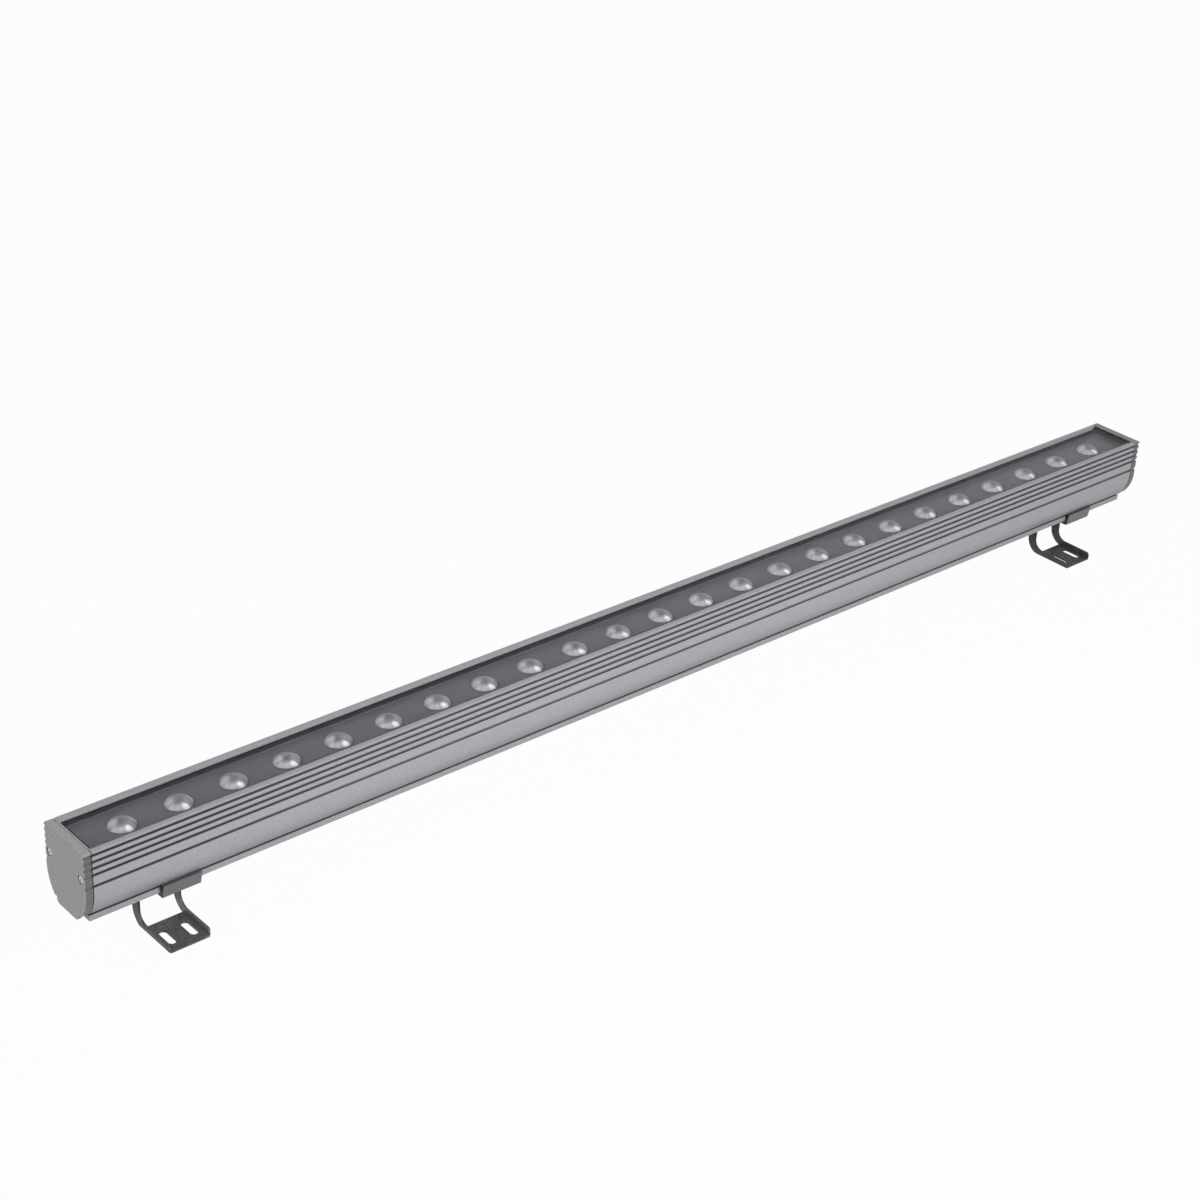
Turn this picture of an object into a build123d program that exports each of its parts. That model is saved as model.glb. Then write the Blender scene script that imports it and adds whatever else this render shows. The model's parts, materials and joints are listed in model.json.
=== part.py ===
"""Linear architectural light: a ribbed aluminium bar with a row of lenses behind glass.

The bar stands on two folded feet. Each foot tilts on a clip, and each clip slides along
the rail under the bar. X runs along the bar, Y to the back and Z up. The origin lies on the
mounting surface, under the middle of the bar. All lengths are in millimetres.
"""
import os
from math import sqrt

from build123d import *

os.makedirs("parts", exist_ok=True)

# Bar
length = 1000.0
body_width = 45.0
body_height = 55.0
wall = 3.2
cap_thickness = 5.8
gasket_thickness = 0.6
gasket_inset = 0.7

# Thinner tab of each end cap, over the end of the rail
tab_width = 25.0
tab_lift = 1.8
tab_thickness = 2.4
tab_corner = 3.0

# Grooves along the flanks, with depths measured down from the rim
first_groove = 2.6
groove_pitch = 4.69
rib_grooves = 4
waist_groove = 24.8
groove_height = 2.2
groove_depth = 1.6
cap_groove_depth = 0.9

# Belly, where the flank curves in to the rail
belly_height = 19.0
floor_width = 30.4

# Rail under the bar, which the clips hold on to
rail_height = 6.1
lip_width = 29.0
lip_height = 4.0
neck_width = 24.4
channel_width = 17.6
channel_depth = 5.3

# Lamp stack in the top of the bar
glass_recess = 0.5
glass_thickness = 3.0
glass_bevel = 0.5
seal_width = 1.5
seal_recess = 0.4
seal_step = 1.2
panel_thickness = 1.2
ledge_width = 3.0
ledge_thickness = 1.8
lens_count = 24
lens_diameter = 19.0
lens_height = 15.5
lens_rise = 4.2
lens_collar = 1.0
lens_flange = 1.6
lens_foot_width = 1.7
lens_gap = 0.1
led_size = 3.5
led_height = 1.6
led_space = 0.3
board_thickness = 1.6
board_gap = 1.0
shelf_thickness = 2.4
cavity_floor_thickness = 2.5

# Screws of the bar
port_radius = 2.9
port_bite = 1.8
screw_radius = 1.5
screw_head_radius = 2.75
screw_head_height = 1.7
screw_reach = 8.0
lenses_per_screw = 4

# Driver in the lower space of the bar
driver_length = 160.0
driver_width = 23.0
driver_headroom = 6.4
driver_edge = 1.0
driver_inset = 45.0
pad_thickness = 1.0

# Cable gland in the right end cap
gland_thread = 6.0
gland_across_flats = 15.0
gland_washer_thickness = 1.0
gland_flange = 4.0
gland_neck = 5.0
gland_neck_radius = 5.2
gland_bore = 3.6
gland_nut_length = 8.0
gland_nut_edge = 1.2
locknut_thickness = 4.0
cable_radius = 2.6
gland_seal_inset = 1.0

# Feet, clips and pivots
left_foot_inset = 70.0
right_foot_inset = 61.5
pivot_height = 35.5
eye_radius = 4.75
eye_clearance = 0.65
strip_width = 7.2
strip_thickness = 1.6
back_reach = 18.2
back_bend = 14.0
inner_bend = 8.0
foot_front = 24.0
foot_rear = 7.0
flange_height = 5.2
flange_corner = 4.0
foot_corner = 2.5
fold_radius = 2.4
slot_width = 5.5
slot_length = 16.0
slot_spacing = 16.0
slot_middle = 10.0
clip_length = 28.0
clip_plate = 3.3
jaw_wall = 3.3
jaw_slant = 1.8
pivot_radius = 2.0
pivot_grip = 7.0
pivot_head_radius = 4.0
pivot_head_height = 2.6
washer_thickness = 0.8
washer_radius = 4.3
set_screw_radius = 2.0

# Clearances
fit = 0.05
slide_play = 0.2
pivot_play = 0.15
hole_room = 0.2

# Heights above the mounting surface
pivot_z = pivot_height
rail_z = pivot_z + eye_radius + eye_clearance
rim_z = rail_z + body_height
floor_z = rail_z + rail_height
belly_z = floor_z + belly_height
lip_z = rail_z + lip_height
channel_z = rail_z + channel_depth
glass_top_z = rim_z - glass_recess
glass_z = glass_top_z - glass_thickness
lens_top_z = glass_z - lens_gap
panel_top_z = lens_top_z - lens_rise
ledge_z = panel_top_z - panel_thickness
ledge_under_z = ledge_z - ledge_thickness
board_top_z = lens_top_z - lens_height
shelf_z = board_top_z - board_thickness
shelf_under_z = shelf_z - shelf_thickness
cavity_z = floor_z + cavity_floor_thickness
groove_heights = [rim_z - first_groove - i * groove_pitch for i in range(rib_grooves)]
groove_heights.append(rim_z - waist_groove)

# Half widths across the bar
half_width = body_width / 2
inner_half = half_width - wall
floor_half = floor_width / 2
cavity_half = floor_half - cavity_floor_thickness
lip_half = lip_width / 2
neck_half = neck_width / 2
channel_half = channel_width / 2
glass_half = inner_half - seal_width
ledge_half = inner_half - ledge_width

# Places along the bar
end_x = length / 2
extrusion_length = length - 2 * (cap_thickness + gasket_thickness)
extrusion_x = extrusion_length / 2
glass_length = extrusion_length - 2 * seal_width
lens_pitch = length / (lens_count + 1)

# Screws of the boards, each midway in its group of lenses
screws_per_board = lens_count // (2 * lenses_per_screw)
board_screw_x = [(i + 0.5) * lenses_per_screw * lens_pitch for i in range(screws_per_board)]

# Screw ports in the corners above the shelf
port_y = inner_half - port_radius + port_bite
port_z = shelf_z + port_radius - port_bite
port_hole = screw_radius + fit


def save(part, name):
    """Label a finished piece and write it."""
    part.label = name
    export_step(part, f"parts/{name}.step")


def band(half, low, high, mode=Mode.ADD):
    """Draw a rectangle across the bar, between two heights, in the sketch in use."""
    with Locations((0, (low + high) / 2)):
        Rectangle(2 * half, high - low, mode=mode)


def rounded_section(half, top, bottom_half, bottom, mode=Mode.ADD):
    """Draw a section with upright flanks that curve in below the belly height."""
    with BuildLine() as outline:
        Polyline((0, top), (half, top), (half, belly_z))
        TangentArc((half, belly_z), (bottom_half, bottom), tangent=(0, -1))
        Line((bottom_half, bottom), (0, bottom))
        mirror(about=Plane.YZ)
    make_face(outline.edges(), mode=mode)


def bar_section(groove, inset=0):
    """Draw the bar's outline above its rail, set in all round, with grooves so deep."""
    rounded_section(half_width - inset, rim_z - inset, floor_half - inset, floor_z + inset)
    with Locations(*[(side * half_width, z) for z in groove_heights for side in (-1, 1)]):
        Rectangle(2 * groove, groove_height, mode=Mode.SUBTRACT)


def driver_space():
    """Cut the lower hollow of the bar from the sketch in use."""
    rounded_section(inner_half, shelf_under_z, cavity_half, cavity_z, Mode.SUBTRACT)


def facing_x(x, y, z, side=1):
    """Plane square to the bar at a point, facing along X to the given side."""
    return Plane(origin=(x, y, z), x_dir=(0, 1, 0), z_dir=(side, 0, 0))


def screw(plane, radius, head_radius, head_height, reach):
    """Plain screw whose head seats on the plane and whose shank goes in below it."""
    with BuildPart() as plain:
        with BuildSketch(plane):
            Circle(head_radius)
        extrude(amount=head_height)
        chamfer(plain.faces().sort_by(Axis(plane.origin, plane.z_dir))[-1].edges(), head_height / 4)
        with BuildSketch(plane):
            Circle(radius)
        extrude(amount=-reach)
    return plain.part


def group(pieces):
    """Separate solids that share one node."""
    return Compound(children=list(pieces))


# Housing: one extrusion with the lamp well, shelf, screw ports, driver space and rail
with BuildPart() as housing:
    with BuildSketch(Plane.YZ.offset(-extrusion_x)):
        bar_section(groove_depth)
        band(neck_half, lip_z, floor_z)
        band(lip_half, rail_z, lip_z)
        band(channel_half, rail_z, channel_z, Mode.SUBTRACT)
        band(inner_half, ledge_z, rim_z, Mode.SUBTRACT)
        band(ledge_half, ledge_under_z, ledge_z, Mode.SUBTRACT)
        band(inner_half, shelf_z, ledge_under_z, Mode.SUBTRACT)
        driver_space()
        with Locations((-port_y, port_z), (port_y, port_z)):
            Circle(port_radius)
            Circle(port_hole, mode=Mode.SUBTRACT)
    extrude(amount=extrusion_length)
    with Locations(*[(side * x, 0, shelf_z) for side in (-1, 1) for x in board_screw_x]):
        Hole(port_hole, depth=shelf_thickness)
save(housing.part, "housing_extrusion")


# End caps, their gaskets and screws
gland_z = (shelf_under_z + cavity_z) / 2
gland_hole = gland_thread + hole_room
head_seat = screw_head_height + hole_room


def end_cap(side):
    """End plate that follows the bar's section, with a thinner tab over the end of the rail."""
    with BuildPart() as cap:
        with BuildSketch(Plane.YZ.offset(side * end_x)):
            bar_section(cap_groove_depth)
        extrude(amount=-side * cap_thickness)
        with BuildSketch(Plane.YZ.offset(side * end_x)) as tab:
            band(tab_width / 2, rail_z + tab_lift, floor_z)
            fillet(tab.vertices().group_by(Axis.Y)[0], tab_corner)
        extrude(amount=-side * tab_thickness)
        with Locations(*[facing_x(side * end_x, y, port_z, side) for y in (-port_y, port_y)]):
            CounterBoreHole(screw_radius + hole_room, screw_head_radius + hole_room, head_seat, cap_thickness)
        if side > 0:
            with Locations(facing_x(end_x, 0, gland_z)):
                Hole(gland_hole, depth=cap_thickness)
    return cap.part


def end_gasket(side):
    """Flat gasket between the bar and an end cap, open over the driver space."""
    with BuildPart() as gasket:
        with BuildSketch(Plane.YZ.offset(side * extrusion_x)):
            bar_section(groove_depth + gasket_inset, gasket_inset)
            driver_space()
            with Locations((-port_y, port_z), (port_y, port_z)):
                Circle(screw_radius + hole_room, mode=Mode.SUBTRACT)
        extrude(amount=side * gasket_thickness)
    return gasket.part


def cap_screws(side):
    """The two screws of an end cap."""
    seat_x = side * (end_x - head_seat)
    reach = cap_thickness - head_seat + gasket_thickness + screw_reach
    return group(
        screw(facing_x(seat_x, y, port_z, side), screw_radius, screw_head_radius, screw_head_height, reach)
        for y in (-port_y, port_y)
    )


for end_side, end_name in ((-1, "left"), (1, "right")):
    save(end_cap(end_side), f"end_cap_{end_name}")
    save(end_gasket(end_side), f"end_gasket_{end_name}")
    save(cap_screws(end_side), f"end_cap_screws_{end_name}")


# Lamp stack: glass in its seal, dark panel, lenses, diodes and their boards
with BuildPart() as glass:
    with BuildSketch(Plane.XY.offset(glass_z)):
        Rectangle(glass_length, 2 * glass_half)
    extrude(amount=glass_thickness)
    chamfer(glass.faces().sort_by(Axis.Z)[-1].edges(), glass_bevel)
save(glass.part, "cover_glass")

with BuildPart() as seal:
    with BuildSketch(Plane.XY.offset(ledge_z)):
        Rectangle(extrusion_length, 2 * inner_half)
        Rectangle(glass_length, 2 * glass_half, mode=Mode.SUBTRACT)
    extrude(amount=glass_top_z - seal_recess - ledge_z)
    with BuildSketch(Plane.XY.offset(panel_top_z)):
        Rectangle(glass_length, 2 * glass_half)
        Rectangle(glass_length - 2 * seal_step, 2 * (glass_half - seal_step), mode=Mode.SUBTRACT)
    extrude(amount=glass_z - panel_top_z)
save(seal.part, "glass_seal")

with BuildPart() as panel:
    with BuildSketch(Plane.XY.offset(ledge_z)):
        Rectangle(glass_length, 2 * glass_half)
        with GridLocations(lens_pitch, 0, lens_count, 1):
            Circle(lens_diameter / 2 + hole_room, mode=Mode.SUBTRACT)
    extrude(amount=panel_thickness)
save(panel.part, "lens_panel")

pocket_radius = led_size / sqrt(2) + led_space
pocket_height = led_height + 2 * led_space
lens_radius = lens_diameter / 2
dome_base = lens_height - lens_rise
flange_top = dome_base - panel_thickness
with BuildPart() as lens:
    with BuildSketch(Plane.XZ):
        with BuildLine():
            TangentArc((0, lens_height), (lens_radius, dome_base), tangent=(1, 0))
            Polyline(
                (lens_radius, dome_base),
                (lens_radius, flange_top),
                (lens_radius + lens_collar, flange_top),
                (lens_radius + lens_collar, flange_top - lens_flange),
                (lens_radius, flange_top - lens_flange),
                (pocket_radius + lens_foot_width, 0),
                (pocket_radius, 0),
                (pocket_radius, pocket_height),
                (0, pocket_height),
                (0, lens_height),
            )
        make_face()
    revolve(axis=Axis.Z)
with BuildPart() as lenses:
    with Locations((0, 0, board_top_z)):
        with GridLocations(lens_pitch, 0, lens_count, 1):
            add(lens.part)
save(lenses.part, "lenses")

with BuildPart() as leds:
    with BuildSketch(Plane.XY.offset(board_top_z)):
        with GridLocations(lens_pitch, 0, lens_count, 1):
            Rectangle(led_size, led_size)
    extrude(amount=led_height)
save(leds.part, "led_packages")

board_half = port_y - port_radius - hole_room
board_length = lens_count / 2 * lens_pitch - board_gap
for board_side, board_name in ((-1, "left"), (1, "right")):
    with BuildPart() as board:
        with BuildSketch(Plane.XY.offset(shelf_z)):
            with Locations((board_side * (board_length + board_gap) / 2, 0)):
                Rectangle(board_length, 2 * board_half)
            with Locations(*[(board_side * x, 0) for x in board_screw_x]):
                Circle(screw_radius + hole_room, mode=Mode.SUBTRACT)
        extrude(amount=board_thickness)
    save(board.part, f"led_board_{board_name}")

board_screws = group(
    screw(
        Plane.XY.offset(board_top_z).shift_origin((side * x, 0, board_top_z)),
        screw_radius,
        screw_head_radius,
        screw_head_height,
        board_thickness + shelf_thickness,
    )
    for side in (-1, 1)
    for x in board_screw_x
)
save(board_screws, "board_screws")


# Driver on its pad, on the floor of the lower space
driver_x = extrusion_x - driver_inset - driver_length / 2
driver_height = shelf_under_z - cavity_z - pad_thickness - driver_headroom
with BuildPart() as driver_pad:
    with BuildSketch(Plane.XY.offset(cavity_z)):
        with Locations((driver_x, 0)):
            Rectangle(driver_length, driver_width)
    extrude(amount=pad_thickness)
save(driver_pad.part, "driver_pad")

with BuildPart() as driver:
    with BuildSketch(Plane.XY.offset(cavity_z + pad_thickness)):
        with Locations((driver_x, 0)):
            Rectangle(driver_length, driver_width)
    extrude(amount=driver_height)
    chamfer(driver.faces().sort_by(Axis.Z)[-1].edges(), driver_edge)
save(driver.part, "driver_case")


# Cable gland: body through the right end cap, locknut inside, seal and cap nut outside
def across_gland(x):
    """Plane square to the gland's axis."""
    return facing_x(x, 0, gland_z)


hex_radius = gland_across_flats / sqrt(3)
flange_x = end_x + gland_washer_thickness
neck_x = flange_x + gland_flange
shank_length = gland_washer_thickness + cap_thickness + locknut_thickness
with BuildPart() as gland_body:
    with BuildSketch(across_gland(flange_x)):
        RegularPolygon(hex_radius, 6)
    extrude(amount=gland_flange)
    with BuildSketch(across_gland(neck_x)):
        Circle(gland_neck_radius)
    extrude(amount=gland_neck)
    with BuildSketch(across_gland(flange_x)):
        Circle(gland_thread)
    extrude(amount=-shank_length)
    with BuildSketch(across_gland(flange_x - shank_length)):
        Circle(cable_radius + hole_room)
    extrude(amount=shank_length + gland_flange, mode=Mode.SUBTRACT)
    with BuildSketch(across_gland(neck_x)):
        Circle(gland_bore + fit)
    extrude(amount=gland_neck, mode=Mode.SUBTRACT)
save(gland_body.part, "gland_body")

with BuildPart() as gland_washer:
    with BuildSketch(across_gland(end_x)):
        Circle(gland_across_flats / 2)
        Circle(gland_hole, mode=Mode.SUBTRACT)
    extrude(amount=gland_washer_thickness)
save(gland_washer.part, "gland_washer")

with BuildPart() as locknut:
    with BuildSketch(across_gland(end_x - cap_thickness)):
        RegularPolygon(hex_radius, 6)
        Circle(gland_thread + fit, mode=Mode.SUBTRACT)
    extrude(amount=-locknut_thickness)
save(locknut.part, "gland_locknut")

with BuildPart() as gland_seal:
    with BuildSketch(across_gland(neck_x)):
        Circle(gland_bore)
        Circle(cable_radius, mode=Mode.SUBTRACT)
    extrude(amount=gland_neck + gland_seal_inset)
save(gland_seal.part, "gland_seal")

with BuildPart() as gland_nut:
    with BuildSketch(across_gland(neck_x)):
        RegularPolygon(hex_radius, 6)
    extrude(amount=gland_nut_length)
    chamfer(gland_nut.faces().sort_by(Axis.X)[-1].edges(), gland_nut_edge)
    with BuildSketch(across_gland(neck_x)):
        Circle(gland_neck_radius + fit)
    extrude(amount=gland_neck + gland_seal_inset, mode=Mode.SUBTRACT)
    with BuildSketch(across_gland(neck_x)):
        Circle(cable_radius + hole_room)
    extrude(amount=gland_nut_length, mode=Mode.SUBTRACT)
save(gland_nut.part, "gland_nut")


# Rail clips, which hook over the rail's lips and carry the pivots
jaw_inner = lip_half + slide_play
jaw_outer = jaw_inner + jaw_wall
hook_half = neck_half + slide_play
hook_top_z = floor_z - slide_play
hook_z = lip_z + slide_play
plate_z = rail_z - slide_play
plate_under_z = plate_z - clip_plate
clip_half = clip_length / 2
set_screw_y = (channel_half + lip_half) / 2


def rail_clip(x):
    """Short extrusion with slanted flanks that hooks into the grooves above the rail's lips."""
    with BuildPart() as clip:
        with BuildSketch(Plane.YZ.offset(x - clip_half)):
            with BuildLine() as outline:
                Polyline(
                    (0, hook_top_z),
                    (jaw_outer, hook_top_z),
                    (jaw_outer - jaw_slant, plate_under_z),
                    (0, plate_under_z),
                )
                mirror(about=Plane.YZ)
            make_face(outline.edges())
            band(jaw_inner, plate_z, hook_z, Mode.SUBTRACT)
            band(hook_half, hook_z, hook_top_z, Mode.SUBTRACT)
            with Locations((0, pivot_z)):
                Circle(eye_radius)
        extrude(amount=clip_length)
        with Locations(facing_x(x - clip_half, 0, pivot_z, -1), facing_x(x + clip_half, 0, pivot_z)):
            Hole(pivot_radius + fit, depth=pivot_grip + hole_room)
        with Locations((x, set_screw_y, plate_z)):
            Hole(set_screw_radius + fit, depth=clip_plate)
    return clip.part


def set_screw(x):
    """Headless screw that locks a clip against the rail from below."""
    with BuildPart() as grub:
        with BuildSketch(Plane.XY.offset(plate_z)):
            with Locations((x, set_screw_y)):
                Circle(set_screw_radius)
        extrude(amount=-clip_plate)
    return grub.part


# Feet: strip folded up at both sides, each side cut to a hook that reaches the pivot
ear_inner = clip_half + pivot_play
ear_outer = ear_inner + strip_thickness
eye_z = pivot_z + eye_radius


def side_cut():
    """Draw a foot's side: from the pivot round the back and forward along the ground."""
    over_z = pivot_z + strip_width / 2
    under_z = pivot_z - strip_width / 2
    inner_back = back_reach - strip_width
    with BuildLine() as hook:
        FilletPolyline((0, over_z), (back_reach, over_z), (back_reach, 0), (-foot_front, 0), radius=back_bend)
        Line((-foot_front, 0), (-foot_front, flange_height))
        FilletPolyline(
            (-foot_front, flange_height),
            (inner_back, flange_height),
            (inner_back, under_z),
            (0, under_z),
            radius=inner_bend,
        )
        Line((0, under_z), (0, over_z))
    make_face(hook.edges())
    with Locations((0, pivot_z)):
        Circle(eye_radius)


def bracket(x):
    """Folded foot with two hook-shaped sides and two slots for the mounting screws."""
    with BuildPart() as foot:
        with BuildSketch(Plane.XZ.offset(foot_front)) as fold:
            with Locations((x, eye_z / 2)):
                Rectangle(2 * ear_outer, eye_z)
            fillet(fold.vertices().group_by(Axis.Y)[0], fold_radius)
            with Locations((x, (eye_z + strip_thickness) / 2)):
                Rectangle(2 * ear_inner, eye_z - strip_thickness, mode=Mode.SUBTRACT)
        extrude(amount=-(foot_front + back_reach))
        with BuildSketch(Plane.YZ.offset(x)) as side:
            side_cut()
            fillet(side.vertices().group_by(Axis.X)[0].sort_by(Axis.Y)[-1], flange_corner)
        extrude(amount=ear_outer, both=True, mode=Mode.INTERSECT)
        with BuildSketch(Plane.XY):
            with Locations((x, (foot_rear + back_reach) / 2)):
                Rectangle(2 * ear_inner, back_reach - foot_rear)
        extrude(amount=eye_z, mode=Mode.SUBTRACT)
        with BuildSketch(Plane.XY) as plan:
            with Locations((x, (back_reach - foot_front) / 2)):
                Rectangle(2 * ear_outer, foot_front + back_reach)
            fillet(plan.vertices().group_by(Axis.Y)[0], foot_corner)
        extrude(amount=eye_z, mode=Mode.INTERSECT)
        with BuildSketch(Plane.XY):
            with Locations((x - slot_spacing / 2, -slot_middle), (x + slot_spacing / 2, -slot_middle)):
                SlotOverall(slot_length, slot_width, rotation=90)
        extrude(amount=strip_thickness, mode=Mode.SUBTRACT)
        with Locations(facing_x(x + ear_outer, 0, pivot_z)):
            Hole(pivot_radius + fit, depth=2 * ear_outer)
    return foot.part


washer_x = ear_outer + pivot_play
head_x = washer_x + washer_thickness


def pivot_screws(x):
    """The two screws that a foot tilts on."""
    return group(
        screw(
            facing_x(x + side * head_x, 0, pivot_z, side),
            pivot_radius,
            pivot_head_radius,
            pivot_head_height,
            head_x - clip_half + pivot_grip,
        )
        for side in (-1, 1)
    )


def pivot_washers(x):
    """The washers under a foot's two pivot screws."""
    with BuildPart() as washers:
        for side in (-1, 1):
            with BuildSketch(facing_x(x + side * washer_x, 0, pivot_z, side)):
                Circle(washer_radius)
                Circle(pivot_radius + fit, mode=Mode.SUBTRACT)
            extrude(amount=washer_thickness)
    return washers.part


for middle, foot_name in ((left_foot_inset - end_x, "left"), (end_x - right_foot_inset, "right")):
    save(rail_clip(middle), f"rail_clip_{foot_name}")
    save(set_screw(middle), f"set_screw_{foot_name}")
    save(bracket(middle), f"bracket_{foot_name}")
    save(pivot_screws(middle), f"pivot_screws_{foot_name}")
    save(pivot_washers(middle), f"pivot_washers_{foot_name}")
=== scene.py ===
"""Looks of a linear architectural light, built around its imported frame.

The bar, its caps, clips and feet are copies of the frame's pieces with their edges rounded
over. Lenses, screws and the gland's nut are modelled here in full. Every surface has a
procedural finish, and all lengths are in metres.
"""
import json
from math import asin, cos, pi, radians, sin, sqrt

import bpy
from bpy.props import FloatProperty, FloatVectorProperty, IntProperty, PointerProperty
from mathutils import Euler, Matrix, Vector

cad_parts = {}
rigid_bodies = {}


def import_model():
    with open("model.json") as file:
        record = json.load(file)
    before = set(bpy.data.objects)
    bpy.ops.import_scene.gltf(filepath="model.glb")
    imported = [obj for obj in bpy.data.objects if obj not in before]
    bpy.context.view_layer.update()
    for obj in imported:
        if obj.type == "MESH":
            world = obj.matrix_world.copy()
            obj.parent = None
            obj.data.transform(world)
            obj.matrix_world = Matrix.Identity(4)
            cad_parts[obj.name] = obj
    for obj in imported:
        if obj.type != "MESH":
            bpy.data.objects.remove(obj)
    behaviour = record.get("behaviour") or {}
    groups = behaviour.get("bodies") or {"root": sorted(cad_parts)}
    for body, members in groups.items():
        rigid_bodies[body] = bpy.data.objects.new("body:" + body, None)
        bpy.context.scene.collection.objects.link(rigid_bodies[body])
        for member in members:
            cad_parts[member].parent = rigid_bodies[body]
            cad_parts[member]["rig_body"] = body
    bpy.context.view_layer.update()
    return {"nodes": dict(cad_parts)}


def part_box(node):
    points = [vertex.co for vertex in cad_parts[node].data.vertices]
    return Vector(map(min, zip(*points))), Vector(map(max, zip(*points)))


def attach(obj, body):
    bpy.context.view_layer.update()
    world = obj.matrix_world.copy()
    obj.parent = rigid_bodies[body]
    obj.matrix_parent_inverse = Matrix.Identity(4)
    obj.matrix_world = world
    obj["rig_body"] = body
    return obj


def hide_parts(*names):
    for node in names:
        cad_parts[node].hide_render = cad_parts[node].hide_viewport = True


bl_info = {
    "name": "Linear architectural light",
    "version": (1, 0, 0),
    "blender": (4, 5, 0),
    "location": "View3D > Sidebar > Light bar",
    "description": "Models and finishes a ribbed light bar on two tilting feet",
    "category": "Object",
}

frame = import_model()

ENDS = ("left", "right")
WHITE = (1, 1, 1, 1)
UPRIGHT = (0, 0, 0)
HEXAGON = 6
WELD = 1e-6
FLAT = radians(1)
SHARP = radians(28)
SMOOTH = radians(40)
LENS_SMOOTH = radians(50)


# Frame


def span(node):
    """Lowest corner, highest corner and middle of a piece of the frame."""
    low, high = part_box(node)
    return low, high, (low + high) / 2


def dress(node, finish):
    """Give a piece of the frame its finish."""
    slots = frame["nodes"][node].data.materials
    slots.clear()
    slots.append(finish)


def stand_for(piece, node, finish):
    """Finish a new piece, and let it ride in place of a piece of the frame."""
    piece.data.materials.clear()
    piece.data.materials.append(finish)
    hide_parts(node)
    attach(piece, frame["nodes"][node]["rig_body"])


# Modelling


def hold(piece):
    """Select one piece alone, so that an operator acts on nothing else."""
    bpy.ops.object.select_all(action="DESELECT")
    piece.select_set(True)
    bpy.context.view_layer.objects.active = piece


def apply_modifier(piece, kind, **settings):
    """Add a modifier with these settings and apply it."""
    hold(piece)
    modifier = piece.modifiers.new(kind.lower(), kind)
    for name, value in settings.items():
        setattr(modifier, name, value)
    bpy.ops.object.modifier_apply(modifier=modifier.name)


def smooth(piece, angle=SMOOTH):
    """Shade a piece smooth over its gentle edges."""
    hold(piece)
    bpy.ops.object.shade_smooth_by_angle(angle=angle)


def round_edges(piece, width, segments=2):
    """Round over the sharp edges of a piece."""
    apply_modifier(
        piece,
        "BEVEL",
        width=width,
        segments=segments,
        limit_method="ANGLE",
        angle_limit=SHARP,
        use_clamp_overlap=True,
    )
    smooth(piece)
    apply_modifier(piece, "WEIGHTED_NORMAL", keep_sharp=True)


def softened(node, width):
    """A copy of a piece of the frame with its edges rounded over."""
    piece = bpy.data.objects.new(f"{node}_finished", frame["nodes"][node].data.copy())
    bpy.context.scene.collection.objects.link(piece)
    hold(piece)
    bpy.ops.object.mode_set(mode="EDIT")
    bpy.ops.mesh.select_all(action="SELECT")
    bpy.ops.mesh.remove_doubles(threshold=WELD)
    bpy.ops.mesh.dissolve_limited(angle_limit=FLAT)
    bpy.ops.object.mode_set(mode="OBJECT")
    round_edges(piece, width)
    return piece


def turned(name, profile, sides=48):
    """Turn a solid about Z: a disc at the first radius and height, drawn on to each of the next."""
    radius, height = profile[0]
    bpy.ops.object.select_all(action="DESELECT")
    bpy.ops.mesh.primitive_circle_add(
        vertices=sides, radius=radius, fill_type="NGON", location=(0, 0, height)
    )
    piece = bpy.context.object
    piece.name = name
    bpy.ops.object.transform_apply(location=True, rotation=True, scale=True)
    bpy.ops.object.mode_set(mode="EDIT")
    for next_radius, next_height in profile[1:]:
        rise = (0, 0, next_height - height)
        bpy.ops.mesh.extrude_region_move(TRANSFORM_OT_translate={"value": rise})
        share = next_radius / radius
        bpy.ops.transform.resize(value=(share, share, 1), center_override=(0, 0, next_height))
        radius, height = next_radius, next_height
    bpy.ops.mesh.select_all(action="SELECT")
    bpy.ops.mesh.normals_make_consistent(inside=False)
    bpy.ops.object.mode_set(mode="OBJECT")
    return piece


def placed(piece, place, turn=UPRIGHT):
    """Turn a piece about the origin, move it to its place and keep both in its mesh."""
    hold(piece)
    piece.rotation_euler = turn
    piece.location = place
    bpy.ops.object.transform_apply(location=True, rotation=True, scale=True)
    return piece


def copied(piece, name):
    """A copy of a piece, with a mesh of its own."""
    hold(piece)
    bpy.ops.object.duplicate(linked=False)
    twin = bpy.context.object
    twin.name = name
    return twin


def joined(pieces, name):
    """Several pieces made into one."""
    bpy.ops.object.select_all(action="DESELECT")
    for piece in pieces:
        piece.select_set(True)
    bpy.context.view_layer.objects.active = pieces[0]
    bpy.ops.object.join()
    pieces[0].name = name
    return pieces[0]


def repeated(master, name, spots):
    """One piece made of copies, each at a place and turn. The master is thrown away."""
    copies = [placed(copied(master, name), place, turn) for place, turn in spots]
    bpy.data.objects.remove(master, do_unlink=True)
    return joined(copies, name)


def carved(piece, cutter, operation="DIFFERENCE"):
    """Cut a shape out of a piece, or add it, and throw the cutter away."""
    apply_modifier(piece, "BOOLEAN", operation=operation, solver="EXACT", object=cutter)
    bpy.data.objects.remove(cutter, do_unlink=True)
    return piece


def hex_key_socket(across, depth, top):
    """Cutter for a hexagon socket that opens at a height and ends in a cone."""
    radius = across / sqrt(3)
    profile = [(radius * 0.2, top - depth * 1.3), (radius, top - depth), (radius, top + depth)]
    return turned("socket", profile, HEXAGON)


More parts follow.
